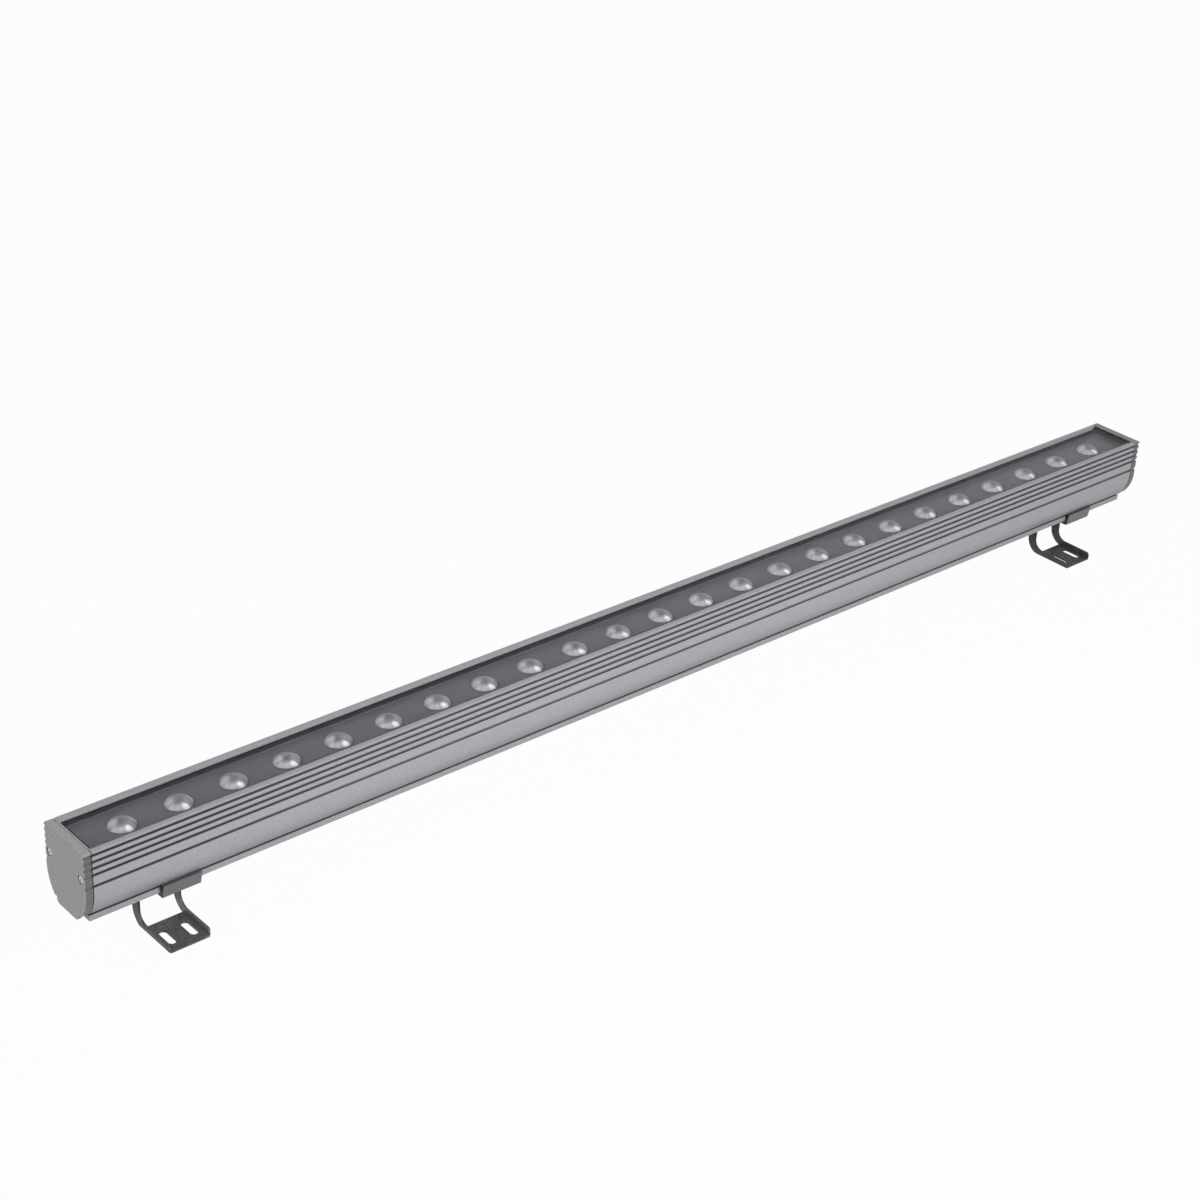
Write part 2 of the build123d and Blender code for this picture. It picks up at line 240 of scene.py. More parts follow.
def cross_recess(length, width, depth, top):
    """Cutter for a cross recess that narrows downwards."""
    narrowing = (0.5, 0.6, 1)
    blades = []
    for turn in (0, pi / 2):
        bpy.ops.object.select_all(action="DESELECT")
        bpy.ops.mesh.primitive_cube_add(size=1, location=(0, 0, top), scale=(length, width, 2 * depth))
        blade = bpy.context.object
        bpy.ops.object.transform_apply(location=True, rotation=True, scale=True)
        bpy.ops.object.mode_set(mode="EDIT")
        bpy.ops.mesh.select_all(action="DESELECT")
        bpy.ops.object.mode_set(mode="OBJECT")
        for face in blade.data.polygons:
            face.select = face.normal.z < -0.5
        bpy.ops.object.mode_set(mode="EDIT")
        bpy.ops.transform.resize(value=narrowing, center_override=(0, 0, top - depth))
        bpy.ops.object.mode_set(mode="OBJECT")
        blades.append(placed(blade, (0, 0, 0), (0, 0, turn)))
    return carved(blades[0], blades[1], "UNION")


# Finishes

DUST_SIZE = 0.012
LENS_FACETS = 11

# Where a finish changes: on the bead and the pane in from a face, on a board out from its middle
BEAD_END = 0.004
BEAD_WALL = 0.0024
BEAD_LINE = 0.0054
GROUND_EDGE = 0.0005
LAND_INNER = 0.00625
LAND_OUTER = 0.01075


class Socket:
    """A value in a finish, so that shader maths reads as plain arithmetic."""

    def __init__(self, finish, output):
        self.finish = finish
        self.output = output

    def __add__(self, other):
        return self.finish.maths("ADD", self, other)

    def __sub__(self, other):
        return self.finish.maths("SUBTRACT", self, other)

    def __rsub__(self, other):
        return self.finish.maths("SUBTRACT", other, self)

    def __mul__(self, other):
        return self.finish.maths("MULTIPLY", self, other)

    def __truediv__(self, other):
        return self.finish.maths("DIVIDE", self, other)

    def __pow__(self, other):
        return self.finish.maths("POWER", self, other)

    def __abs__(self):
        return self.finish.maths("ABSOLUTE", self)

    __radd__ = __add__
    __rmul__ = __mul__


class Finish:
    """A node tree under construction, for a material or the world."""

    def __init__(self, owner):
        owner.use_nodes = True
        self.owner = owner
        self.tree = owner.node_tree
        self.tree.nodes.clear()

    def put(self, socket, value):
        """Link a value to a socket, or set it there."""
        if isinstance(value, Socket):
            self.tree.links.new(value.output, socket)
        else:
            socket.default_value = value

    def node(self, kind, sockets=None, outlet=0, **settings):
        """Add a node: its settings first, then the values or links of its sockets."""
        node = self.tree.nodes.new(f"ShaderNode{kind}")
        for name, value in settings.items():
            setattr(node, name, value)
        for name, value in (sockets or {}).items():
            self.put(node.inputs[name], value)
        return Socket(self, node.outputs[outlet]) if node.outputs else node

    def maths(self, operation, *values):
        """A Math node on values and numbers."""
        return self.node("Math", dict(enumerate(values)), operation=operation)

    def blend(self, share, first, second):
        """Mix two colours, from the first at 0 to the second at 1."""
        return self.node("Mix", {0: share, 6: first, 7: second}, "Result", data_type="RGBA")

    def mottled(self, colour, pattern, contrast):
        """A colour that a pattern makes darker and lighter by a share."""
        return self.blend(pattern, tone(colour, 1 - contrast), tone(colour, 1 + contrast))

    def place(self, stretch=(1, 1, 1)):
        """Object coordinates, stretched along each axis."""
        spot = self.node("TexCoord", outlet="Object")
        return self.node("Mapping", {"Vector": spot, "Scale": stretch})

    def along(self):
        """The three object coordinates as separate values."""
        parts = self.node("SeparateXYZ", {0: self.node("TexCoord", outlet="Object")})
        outputs = parts.output.node.outputs
        return [Socket(self, output) for output in outputs]

    def grain(self, size, stretch=(1, 1, 1), detail=3.0):
        """Cloudy noise between 0 and 1 with grains of about this size."""
        spot = self.place(stretch)
        return self.node("TexNoise", {"Vector": spot, "Scale": 1 / size, "Detail": detail})

    def dust(self):
        """Wide soft clouds, as dust lies."""
        return self.grain(DUST_SIZE, detail=4.0)

    def step(self, value, start, end):
        """A smooth ramp from 0 at the start to 1 at the end."""
        return self.node(
            "MapRange",
            {"Value": value, "From Min": start, "From Max": end},
            interpolation_type="SMOOTHSTEP",
        )

    def past(self, value, place, blur):
        """0 before a place and 1 past it, with a ramp that reaches as far as the blur to each side."""
        return self.step(value, place - blur, place + blur)

    def bump(self, height, depth):
        """A normal that follows a height between 0 and 1."""
        return self.node("Bump", {"Height": height, "Distance": depth, "Strength": 1.0})

    def show(self, shader, kind="OutputMaterial"):
        """Send a shader to the output."""
        self.node(kind, {"Surface": shader})
        return self.owner

    def surface(self, sockets):
        """End with one principled surface."""
        return self.show(self.node("BsdfPrincipled", sockets))


def new_finish(name):
    """An empty finish for a material of this name."""
    return Finish(bpy.data.materials.new(name))


def tone(colour, share):
    """A colour made lighter or darker by a share, as a shader colour."""
    return (*[channel * share for channel in colour], 1.0)


def drawn_aluminium(name, colour, metallic, painted_shade_mask):
    """Satin anodised extrusion, with faint lines along its length and painted shade where a mask says, such
    as in its grooves.
    """
    finish = new_finish(name)
    lines = finish.grain(0.0009, stretch=(0.004, 1, 1), detail=2.0)
    speck = finish.step(finish.grain(0.0017, detail=2.0), 0.35, 0.65)
    cloud = finish.grain(0.06, stretch=(0.4, 1, 1), detail=2.0)
    base = finish.mottled(colour, lines * 0.3 + speck * 0.35 + cloud * 0.35, contrast=0.17)
    return finish.surface(
        {
            # Painted shade pulls the colour down towards an eighth of its tone where the mask says
            "Base Color": finish.blend(painted_shade_mask(finish), base, tone(colour, 0.12)),
            "Metallic": metallic,
            "Roughness": 0.36 + lines * 0.14 + speck * 0.08,
            "Normal": finish.bump(lines * 0.8 + speck * 0.2, depth=0.00006),
        }
    )


def coated_metal(name, colour, roughness, pebble, mottle, painted_shade, rub=None):
    """Powder-coated metal with a mottled, pebbled skin, darker with painted shade and paler with a painted
    highlight where the masks say.
    """
    finish = new_finish(name)
    skin = finish.step(finish.grain(pebble, detail=2.0), 0.3, 0.7)
    cloud = finish.grain(pebble * 20)
    base = finish.mottled(colour, skin * 0.7 + cloud * 0.3, mottle)
    # Painted shade pulls the colour down towards two fifths of its tone
    base = finish.blend(painted_shade(finish), base, tone(colour, 0.4))
    if rub:
        # A painted highlight lifts the colour towards twice its tone
        base = finish.blend(rub(finish), base, tone(colour, 2.0))
    return finish.surface(
        {
            "Base Color": base,
            "Metallic": 0.2,
            "Roughness": roughness - 0.06 + cloud * 0.12,
            "Specular IOR Level": 0.3,
            "Normal": finish.bump(skin, depth=pebble * 0.04),
        }
    )


def stainless(name, colour):
    """Plain stainless steel with turning marks and light scuffs."""
    finish = new_finish(name)
    scuff = finish.grain(0.0007, stretch=(1, 0.25, 1), detail=4.0)
    cloud = finish.grain(0.004)
    return finish.surface(
        {
            "Base Color": finish.blend(cloud, tone(colour, 0.85), tone(colour, 1.1)),
            "Metallic": 1.0,
            "Roughness": 0.22 + scuff * 0.2,
            "Normal": finish.bump(scuff, depth=0.00003),
        }
    )


def moulded(name, colour, roughness, pebble=0.0006):
    """Moulded rubber or plastic with a faint skin and a little dust."""
    finish = new_finish(name)
    skin = finish.grain(pebble, detail=2.0)
    dust = finish.dust()
    return finish.surface(
        {
            "Base Color": finish.mottled(colour, dust, contrast=0.25),
            "Roughness": roughness - 0.08 + dust * 0.16,
            "Normal": finish.bump(skin, depth=pebble * 0.08),
        }
    )


def silicone_bead(name, top, line, foot, node):
    """Bead round the glass: grey on top as painted light, black below and at the gland's end as painted
    shade, dull at its foot.
    """
    finish = new_finish(name)
    _, high, _ = span(node)
    x, _, z = finish.along()
    dust = finish.dust()
    # Painted shade at the gland's end, where the top band turns black
    sides = 1 - finish.past(x, high.x - BEAD_END, blur=0.0005)
    upper = finish.past(z, high.z - BEAD_WALL, blur=0.0002) * sides
    lower = 1 - finish.past(z, high.z - BEAD_LINE, blur=0.0002)
    # The top band is the bar's colour lightened as painted light; the band below is the seal's black
    # darkened further as painted shade
    base = finish.blend(upper, tone(line, 0.4), tone(top, 1.25))
    base = finish.blend(lower, base, tone(foot, 1.0))
    return finish.surface(
        {"Base Color": base, "Roughness": 0.5 + dust * 0.16, "Specular IOR Level": 0.15}
    )


def pane(name, tint, node):
    """Clear glass that bends the view, with a mirror that grows at a slant and along ground edges."""
    finish = new_finish(name)
    _, high, _ = span(node)
    _, y, _ = finish.along()
    ground = finish.past(abs(y), high.y - GROUND_EDGE, blur=0.0001)
    slant = finish.node("LayerWeight", {"Blend": 0.5}, "Facing")
    smear = finish.grain(0.09, stretch=(0.5, 1, 1), detail=4.0)
    shadow = finish.node("LightPath", outlet="Is Shadow Ray")
    bent = finish.node("BsdfRefraction", {"Color": tone(tint, 1.0), "Roughness": 0.0, "IOR": 1.5})
    mirror = finish.node("BsdfGlossy", {"Color": WHITE, "Roughness": 0.02 + smear * 0.05})
    clear = finish.node("BsdfTransparent", {"Color": tone(tint, 1.0)})
    share = 0.005 + slant ** 3 * 0.2 + ground * 0.12
    glass = finish.node("MixShader", {0: share, 1: bent, 2: mirror})
    return finish.show(finish.node("MixShader", {0: shadow, 1: glass, 2: clear}))


def apart(finish, across, along):
    """Length of a flat vector."""
    return finish.maths("SQRT", across * across + along * along)


def about_lens(finish, pitch, radius):
    """Place about the nearest lens, along the bar and to the front, as shares of its radius."""
    x, y, _ = finish.along()
    side = (finish.maths("FRACT", x / pitch) - 0.5) * (pitch / radius)
    return side, y * (-1 / radius)


def lens_plate(name, colour, pitch, radius):
    """Matte dark panel, with a painted shadow where each lens comes through in front."""
    finish = new_finish(name)
    side, front = about_lens(finish, pitch, radius)
    reach = apart(finish, side, front)
    skin = finish.grain(0.0004, detail=2.0)
    dust = finish.dust()
    base = finish.mottled(colour, dust, contrast=0.15)
    # Painted shadow under the front edge of each lens
    line = (1 - finish.step(reach, 1.03, 1.2)) * finish.step(front, -0.1, 0.5)
    return finish.surface(
        {
            "Base Color": finish.blend(line * 0.7, base, tone(colour, 0.1)),
            "Roughness": 0.42 + dust * 0.16,
            "Normal": finish.bump(skin, depth=0.00003),
        }
    )


def pearl_lens(name, colour, pitch, radius):
    """Acrylic collimator with painted light: grey over the diode, paler round the rim and at the rear, a lit
    lobe on the left, brightest towards the front, and a painted highlight at the front right.
    """
    finish = new_finish(name)
    side, front = about_lens(finish, pitch, radius)
    reach = apart(finish, side, front)
    # To the right and down, about as the photograph's viewpoint sees a lens
    right = side * 0.8 + front * 0.6
    down = front * 0.8 - side * 0.6
    swirl = finish.grain(0.003, stretch=(1, 1.6, 1), detail=4.0)
    round_about = finish.maths("ARCTAN2", front, side)
    facets = finish.maths("SINE", round_about * LENS_FACETS + swirl * 6)
    # Masks of painted light: a darker core, a paler rim and rear, a brighter front and a lit lobe on the
    # left
    core = 1 - finish.step(apart(finish, right, down - 0.2), 0.1, 0.55)
    ring = finish.step(reach, 0.4, 0.8)
    rear = finish.step(-0.05 - down, 0.0, 0.4)
    smile = finish.step(down, 0.45, 0.85)
    left = 1 - finish.step(apart(finish, right + 0.58, down - 0.25), 0.1, 0.5)
    painted_light = 0.36 - core * 0.26 + ring * (rear * 0.6 + smile * 0.6 + facets * 0.12) + left * 0.65
    painted_light = painted_light + (swirl - 0.5) * (0.5 + left * 1.4)
    # A painted highlight towards the front right
    spot = apart(finish, (right - 0.55) * 0.65, down - 0.64)
    painted_glint = 1 - finish.step(spot + swirl * 0.1, 0.12, 0.34)
    base = finish.blend(painted_light, tone(colour, 0.1), tone(colour, 0.75))
    return finish.surface(
        {
            "Base Color": finish.blend(painted_glint, base, tone(colour, 1.5)),
            "Roughness": 0.3 + swirl * 0.2,
            "Coat Weight": 0.2,
            "Coat Roughness": 0.1,
            "Normal": finish.bump(swirl, depth=0.0002),
        }
    )


def circuit_board(name, mask, copper):
    """White solder mask over faint copper lands."""
    finish = new_finish(name)
    _, y, _ = finish.along()
    out = abs(y)
    land = finish.past(out, LAND_INNER, blur=0.00025) * (1 - finish.past(out, LAND_OUTER, blur=0.00025))
    speck = finish.grain(0.001)
    return finish.surface(
        {
            "Base Color": finish.blend(land * 0.35 + speck * 0.08, tone(mask, 1.0), tone(copper, 1.0)),
            "Roughness": 0.35 + speck * 0.15,
            "Normal": finish.bump(land, depth=0.00004),
        }
    )


# Settings


def colour_property(name, description, default):
    """A colour that a user may change."""
    return FloatVectorProperty(
        name=name, description=description, default=default, size=3, min=0, max=1, subtype="COLOR"
    )


def length_property(name, description, default):
    """A length that a user may change."""
    return FloatProperty(name=name, description=description, default=default, min=0, unit="LENGTH")


def angle_property(name, description, degrees):
    """An angle that a user may change."""
    return FloatProperty(name=name, description=description, default=radians(degrees), subtype="ANGLE")


def power_property(name, description, default):
    """A lamp's power that a user may change."""
    return FloatProperty(name=name, description=description, default=default, min=0, subtype="POWER")


class LightBarSizes(bpy.types.PropertyGroup):
    """Sizes of the pieces that are modelled here."""

    bar_edge: length_property("Bar edge", "Rounding of the extrusion's edges", 0.0003)
    cap_edge: length_property("Cap edge", "Rounding of the end caps' edges", 0.0006)
    foot_edge: length_property("Foot edge", "Rounding of the feet's edges", 0.0006)
    clip_edge: length_property("Clip edge", "Rounding of the clips' edges", 0.0004)
    gland_edge: length_property("Gland edge", "Rounding of the gland body's edges", 0.0004)
    nut_edge: length_property("Nut edge", "Rounding of the gland nut's collar", 0.0005)
    nut_gap: length_property("Nut gap", "Radius of the gaps between the gland nut's ribs", 0.0007)
    nut_ribs: IntProperty(name="Nut ribs", description="Ribs on the gland nut's dome", default=12, min=1)
    lens_count: IntProperty(name="Lenses", description="Lenses in the row", default=24, min=1)
    lens_collar: length_property("Lens collar", "Reach of a lens's flange past its dome", 0.001)
    lens_flange: length_property("Lens flange", "Thickness of a lens's flange", 0.0016)
    lens_dimple: length_property("Lens dimple", "Depth of the dimple on a lens", 0.0003)
    cap_driver: length_property("Cap driver", "Length of the cross recess in the cap screws", 0.0032)
    pivot_key: length_property("Pivot key", "Hexagon socket of the pivot screws, across its flats", 0.0025)
    set_key: length_property("Set key", "Hexagon socket of the set screws, across its flats", 0.002)


class LightBarColours(bpy.types.PropertyGroup):
    """Colours of the finishes."""

    bar: colour_property("Bar", "Anodised extrusion", (0.42, 0.415, 0.445))
    cap: colour_property("Cap", "Coated end caps", (0.4, 0.4, 0.41))
    # The feet share one coat: the left foot's colour is painted lighter and the right foot's darker, as
    # painted light and shade
    foot_left: colour_property("Left foot", "Coat of the left foot", (0.10212, 0.10212, 0.10626))
    foot_right: colour_property("Right foot", "Coat of the right foot", (0.0666, 0.0666, 0.0693))
    clip: colour_property("Clip", "Plain aluminium clips", (0.165, 0.165, 0.175))
    steel: colour_property("Steel", "Stainless screws and washers", (0.62, 0.62, 0.62))
    seal: colour_property("Seal", "Black silicone bead and gaskets", (0.012, 0.012, 0.013))
    panel: colour_property("Panel", "Dark panel round the lenses", (0.077, 0.078, 0.097))
    lens: colour_property("Lens", "Frosted collimators", (0.555, 0.55, 0.6))
    glass: colour_property("Glass", "Tint of the cover glass", (0.97, 0.97, 0.975))
    gland: colour_property("Gland", "Black nylon gland", (0.018, 0.018, 0.02))
    diode: colour_property("Diode", "Phosphor of the diodes", (0.8, 0.66, 0.16))
    board: colour_property("Board", "Solder mask of the boards", (0.8, 0.8, 0.78))
    copper: colour_property("Copper", "Copper lands of the boards", (0.6, 0.35, 0.2))
    driver: colour_property("Driver", "Driver case", (0.09, 0.09, 0.095))
    pad: colour_property("Pad", "Pad under the driver", (0.2, 0.24, 0.28))
    floor: colour_property("Floor", "Floor under the light", (0.5, 0.5, 0.5))


class LightBarStage(bpy.types.PropertyGroup):
    """Camera and lamps."""

    camera_place: FloatVectorProperty(
        name="Camera place",
        description="Where the camera stands",
        default=(-1.0648, -1.0776, 0.9219),
        size=3,
        subtype="TRANSLATION",
    )
    heading: angle_property("Heading", "Turn from +Y towards +X", 42.463)
    dip: angle_property("Dip", "Tilt below the horizon", 28.712)
    roll: angle_property("Roll", "Turn about the line of sight", 3.189)
    lens: FloatProperty(
        name="Focal length",
        description="Of a 36 mm camera",
        default=72.143,
        subtype="DISTANCE_CAMERA",
    )
    sky: FloatProperty(name="Sky", description="Strength of the light from all round", default=0.3, min=0)
    key: power_property("Key", "Lamp in front of the bar", 8.6)
    fill: power_property("Fill", "Lamp to the left", 9.0)
    floor_glow: FloatProperty(
        name="Floor glow",
        description="Share of plain white in the floor",
        default=0.97,
        min=0,
        max=1,
        subtype="FACTOR",
    )
    floor_drop: length_property("Floor drop", "Depth of the floor below the feet", 0.006)


def sizes():
    """The sizes in use."""
    return bpy.context.scene.light_bar_sizes


def colours():
    """The colours in use."""
    return bpy.context.scene.light_bar_colours


def staging():
    """The stage settings in use."""
    return bpy.context.scene.light_bar_stage


# Where painted shade and painted highlights lie on the pieces. Each place is measured in from a face of its
# piece, apart from the neck, which is measured from the middle, and the heights on a foot.

NEAR_END = 0.135
WAIST = 0.022
GROOVE_MOUTH = 0.00045
GROOVE_FLOOR = 0.0021
RIM = 0.0014
BELLY_TOP = 0.02855
BELLY_FADE = 0.0135
BELLY_FOOT = 0.005
LIP_TOP = 0.0037
RAIL_FLOOR = 0.0064
NECK_SIDE = 0.01395
CAP_FACE = 0.0006
CAP_TOP = 0.002
PLATE_TOP = 0.003
ARM_PAINTED_SHADE = 0.022
HIGHLIGHT_FOLD = 0.004
HIGHLIGHT_EDGE = 0.0008
HIGHLIGHT_TOP = 0.008
CLIP_END = 0.0002


def groove_shade(finish):
    """Painted shade on the bar: in the flanks' grooves, over the rail's lips and low on the belly."""
    low, high, _ = span("housing_extrusion")
    x, y, z = finish.along()
    flank = abs(y)
    # The painted shade is made stronger towards the near end
    near = 1 - finish.past(x, low.x + NEAR_END, blur=0.105)
    waist = 1 - finish.past(z, high.z - WAIST, blur=0.0002)
    inside = 1 - finish.past(flank, high.y - GROOVE_MOUTH, blur=0.00025)
    outside = finish.past(flank, high.y - GROOVE_FLOOR, blur=0.0001)
    below_rim = 1 - finish.past(z, high.z - RIM, blur=0.0001)
    above_belly = finish.past(z, low.z + BELLY_TOP, blur=0.00025)
    # Strength of the painted shade in the grooves: weaker at the waist, stronger at the near end
    depth = 0.74 - waist * 0.14 + near * (0.18 + waist * 0.1)
    painted_shade_mask = inside * outside * below_rim * above_belly * depth
    # Painted shade in the gap over the rail's lips
    over_lip = finish.past(z, low.z + LIP_TOP, blur=0.0002)
    under_floor = 1 - finish.past(z, low.z + RAIL_FLOOR, blur=0.0002)
    between = 1 - finish.past(flank, NECK_SIDE, blur=0.00035)
    neck = over_lip * under_floor * between * (0.8 + near * 0.16)
    # Painted shade low on the belly, where it turns away from the light
    belly = finish.past(z, low.z + BELLY_FOOT, blur=0.001) * 0.16
    under = (1 - finish.past(z, low.z + BELLY_FADE, blur=0.0065)) * (0.14 + belly)
    return finish.maths("MAXIMUM", finish.maths("MAXIMUM", painted_shade_mask, neck), under)


def cap_shade(finish):
    """Painted shade on an end cap: along its sides behind its face, and a little all over at the gland's
    end, where less light falls.
    """
    _, high, _ = span("end_cap_right")
    x, _, z = finish.along()
    behind = 1 - finish.past(abs(x), high.x - CAP_FACE, blur=0.0003)
    below = 1 - finish.past(z, high.z - CAP_TOP, blur=0.0005)
    return finish.maths("MAXIMUM", behind * below * 0.95, finish.step(x, 0, high.x) * 0.55)


def foot_shade(finish):
    """Painted shade on a foot: up its arms, under the bar."""
    _, _, z = finish.along()
    return finish.step(z, PLATE_TOP, ARM_PAINTED_SHADE)


def foot_painted_highlight(node):
    """Painted highlight on a foot: paler inside its right edge, from the fold up."""
    _, high, _ = span(node)

    def inside(finish):
        x, _, z = finish.along()
        fold = finish.past(x, high.x - HIGHLIGHT_FOLD, blur=0.002)
        outside = finish.past(x, high.x - HIGHLIGHT_EDGE, blur=0.0004)
        return fold * (1 - outside) * (1 - finish.past(z, HIGHLIGHT_TOP, blur=0.002)) * 0.75

    return inside


def clip_shade(node):
    """Painted shade on a clip: on its sawn ends."""
    low, high, middle = span(node)
    half = (high.x - low.x) / 2

    def ends(finish):
        x, _, _ = finish.along()
        return finish.past(abs(x - middle.x), half - CLIP_END, blur=0.0001)

    return ends


# Pieces

# Outline of a pan head, as shares of its radius and its height
PAN_HEAD = ((0.97, 0), (1, 0.06), (1, 0.42), (0.94, 0.72), (0.8, 0.9), (0.58, 0.98), (0.3, 1))

# Sizes of screws, as shares of their head's radius
CAP_HEAD_HEIGHT = 0.62
CAP_SHANK = 0.54
PIVOT_SHANK = 0.5
PIVOT_REACH = 2.3

DOME_RINGS = 6
DOME_TURN = radians(75)


class LIGHTBAR_OT_housing(bpy.types.Operator):
    """Finish the extrusion, its end caps and their gaskets"""

    bl_idname = "light_bar.housing"
    bl_label = "Housing"

    def execute(self, context):
        bar = drawn_aluminium("satin anodised bar", colours().bar, metallic=0.15, painted_shade_mask=groove_shade)
        cap = coated_metal(
            "coated end cap", colours().cap, roughness=0.45, pebble=0.0014, mottle=0.15, painted_shade=cap_shade
        )
        gasket = moulded("black gasket", colours().seal, roughness=0.6)
        stand_for(softened("housing_extrusion", sizes().bar_edge), "housing_extrusion", bar)
        for end in ENDS:
            stand_for(softened(f"end_cap_{end}", sizes().cap_edge), f"end_cap_{end}", cap)
            dress(f"end_gasket_{end}", gasket)
        return {"FINISHED"}


def lens_body():
    """One collimator: cone, flange under the panel, and a dome that stands up through the panel."""
    low, high, _ = span("lenses")
    panel_low, panel_high, _ = span("lens_panel")
    flange = high.y
    radius = flange - sizes().lens_collar
    under = panel_low.z - sizes().lens_flange
    profile = [(radius * 0.47, low.z), (radius, under), (flange, under), (flange, panel_low.z)]
    profile += [(radius, panel_low.z), (radius, panel_high.z)]
    rise = high.z - panel_high.z
    ball = (radius ** 2 + rise ** 2) / (2 * rise)
    edge = asin(radius / ball)
    rings = 12
    for i in range(1, rings):
        turn = edge * (1 - i / rings)
        profile.append((ball * sin(turn), high.z - ball * (1 - cos(turn))))
    dimple = ball * sin(edge / rings)
    bottom = high.z - sizes().lens_dimple
    profile += [(dimple * 0.6, bottom), (dimple * 0.1, bottom)]
    body = turned("lens_row", profile)
    smooth(body, LENS_SMOOTH)
    return body


class LIGHTBAR_OT_lamps(bpy.types.Operator):
    """Model the row of lenses and finish the glass, seal, panel, diodes and boards"""

    bl_idname = "light_bar.lamps"
    bl_label = "Lamps"

    def execute(self, context):
        low, high, _ = span("lenses")
        flange = high.y
        radius = flange - sizes().lens_collar
        count = sizes().lens_count
        pitch = (high.x - low.x - 2 * flange) / (count - 1)
        spots = [((low.x + flange + i * pitch, 0, 0), UPRIGHT) for i in range(count)]
        row = repeated(lens_body(), "lens_row", spots)
        stand_for(row, "lenses", pearl_lens("frosted lens", colours().lens, pitch, radius))
        dress("cover_glass", pane("clear cover glass", colours().glass, "cover_glass"))
        bead = silicone_bead("silicone bead", colours().bar, colours().seal, colours().panel, "glass_seal")
        dress("glass_seal", bead)
        dress("lens_panel", lens_plate("dark lens panel", colours().panel, pitch, radius))
        dress("led_packages", moulded("phosphor", colours().diode, roughness=0.3))
        board = circuit_board("white circuit board", colours().board, colours().copper)
        for end in ENDS:
            dress(f"led_board_{end}", board)
        dress("board_screws", stainless("board screw steel", colours().steel))
        return {"FINISHED"}


class LIGHTBAR_OT_driver(bpy.types.Operator):
    """Finish the driver and its pad"""

    bl_idname = "light_bar.driver"
    bl_label = "Driver"

    def execute(self, context):
        dress("driver_case", moulded("grey driver case", colours().driver, roughness=0.55))
        dress("driver_pad", moulded("soft pad", colours().pad, roughness=0.8))
        return {"FINISHED"}


def shank(radius, reach):
    """Profile of a screw's shank, from its tip up to height 0."""
    return [(radius * 0.6, -reach), (radius, -reach + radius * 0.5), (radius, 0)]


def pan_head_screw(head_radius, head_height, shank_radius, reach):
    """Screw with a pan head and a cross recess, its head seated at height 0."""
    profile = shank(shank_radius, reach)
    profile += [(head_radius * across, head_height * up) for across, up in PAN_HEAD]
    screw = turned("screw", profile, 40)
    recess = cross_recess(sizes().cap_driver, sizes().cap_driver * 0.24, head_height * 0.62, head_height)
    smooth(carved(screw, recess))
    return screw


def button_screw(head_radius, head_height, shank_radius, reach):
    """Screw with a domed button head and a hexagon socket, its head seated at height 0."""
    profile = shank(shank_radius, reach)
    profile += [(head_radius * 0.96, 0), (head_radius, head_height * 0.08), (head_radius, head_height * 0.2)]
    for i in range(1, DOME_RINGS):
        turn = i / DOME_RINGS * pi / 2
        profile.append((head_radius * (0.52 + 0.48 * cos(turn)), head_height * (0.2 + 0.8 * sin(turn))))
    profile.append((head_radius * 0.5, head_height))
    screw = turned("screw", profile, 40)
    smooth(carved(screw, hex_key_socket(sizes().pivot_key, head_height * 0.6, head_height)))
    return screw


def facing(side):
    """Turn that points a screw's head along X to the given side."""
    return (0, side * pi / 2, 0)


class LIGHTBAR_OT_cap_screws(bpy.types.Operator):
    """Model the screws of the end caps"""

    bl_idname = "light_bar.cap_screws"
    bl_label = "Cap screws"

    def execute(self, context):
        steel = stainless("cap screw steel", colours().steel)
        for end, side in zip(ENDS, (-1, 1)):
            node = f"end_cap_screws_{end}"
            low, high, middle = span(node)
            head_radius = (high.z - low.z) / 2
            head_height = head_radius * CAP_HEAD_HEIGHT
            reach = high.x - low.x - head_height
            outer = high.x if side > 0 else low.x
            seat = outer - side * head_height
            master = pan_head_screw(head_radius, head_height, head_radius * CAP_SHANK, reach)
            across = (low.y + head_radius, high.y - head_radius)
            spots = [((seat, y, middle.z), facing(side)) for y in across]
            stand_for(repeated(master, f"cap_screws_{end}", spots), node, steel)
        return {"FINISHED"}


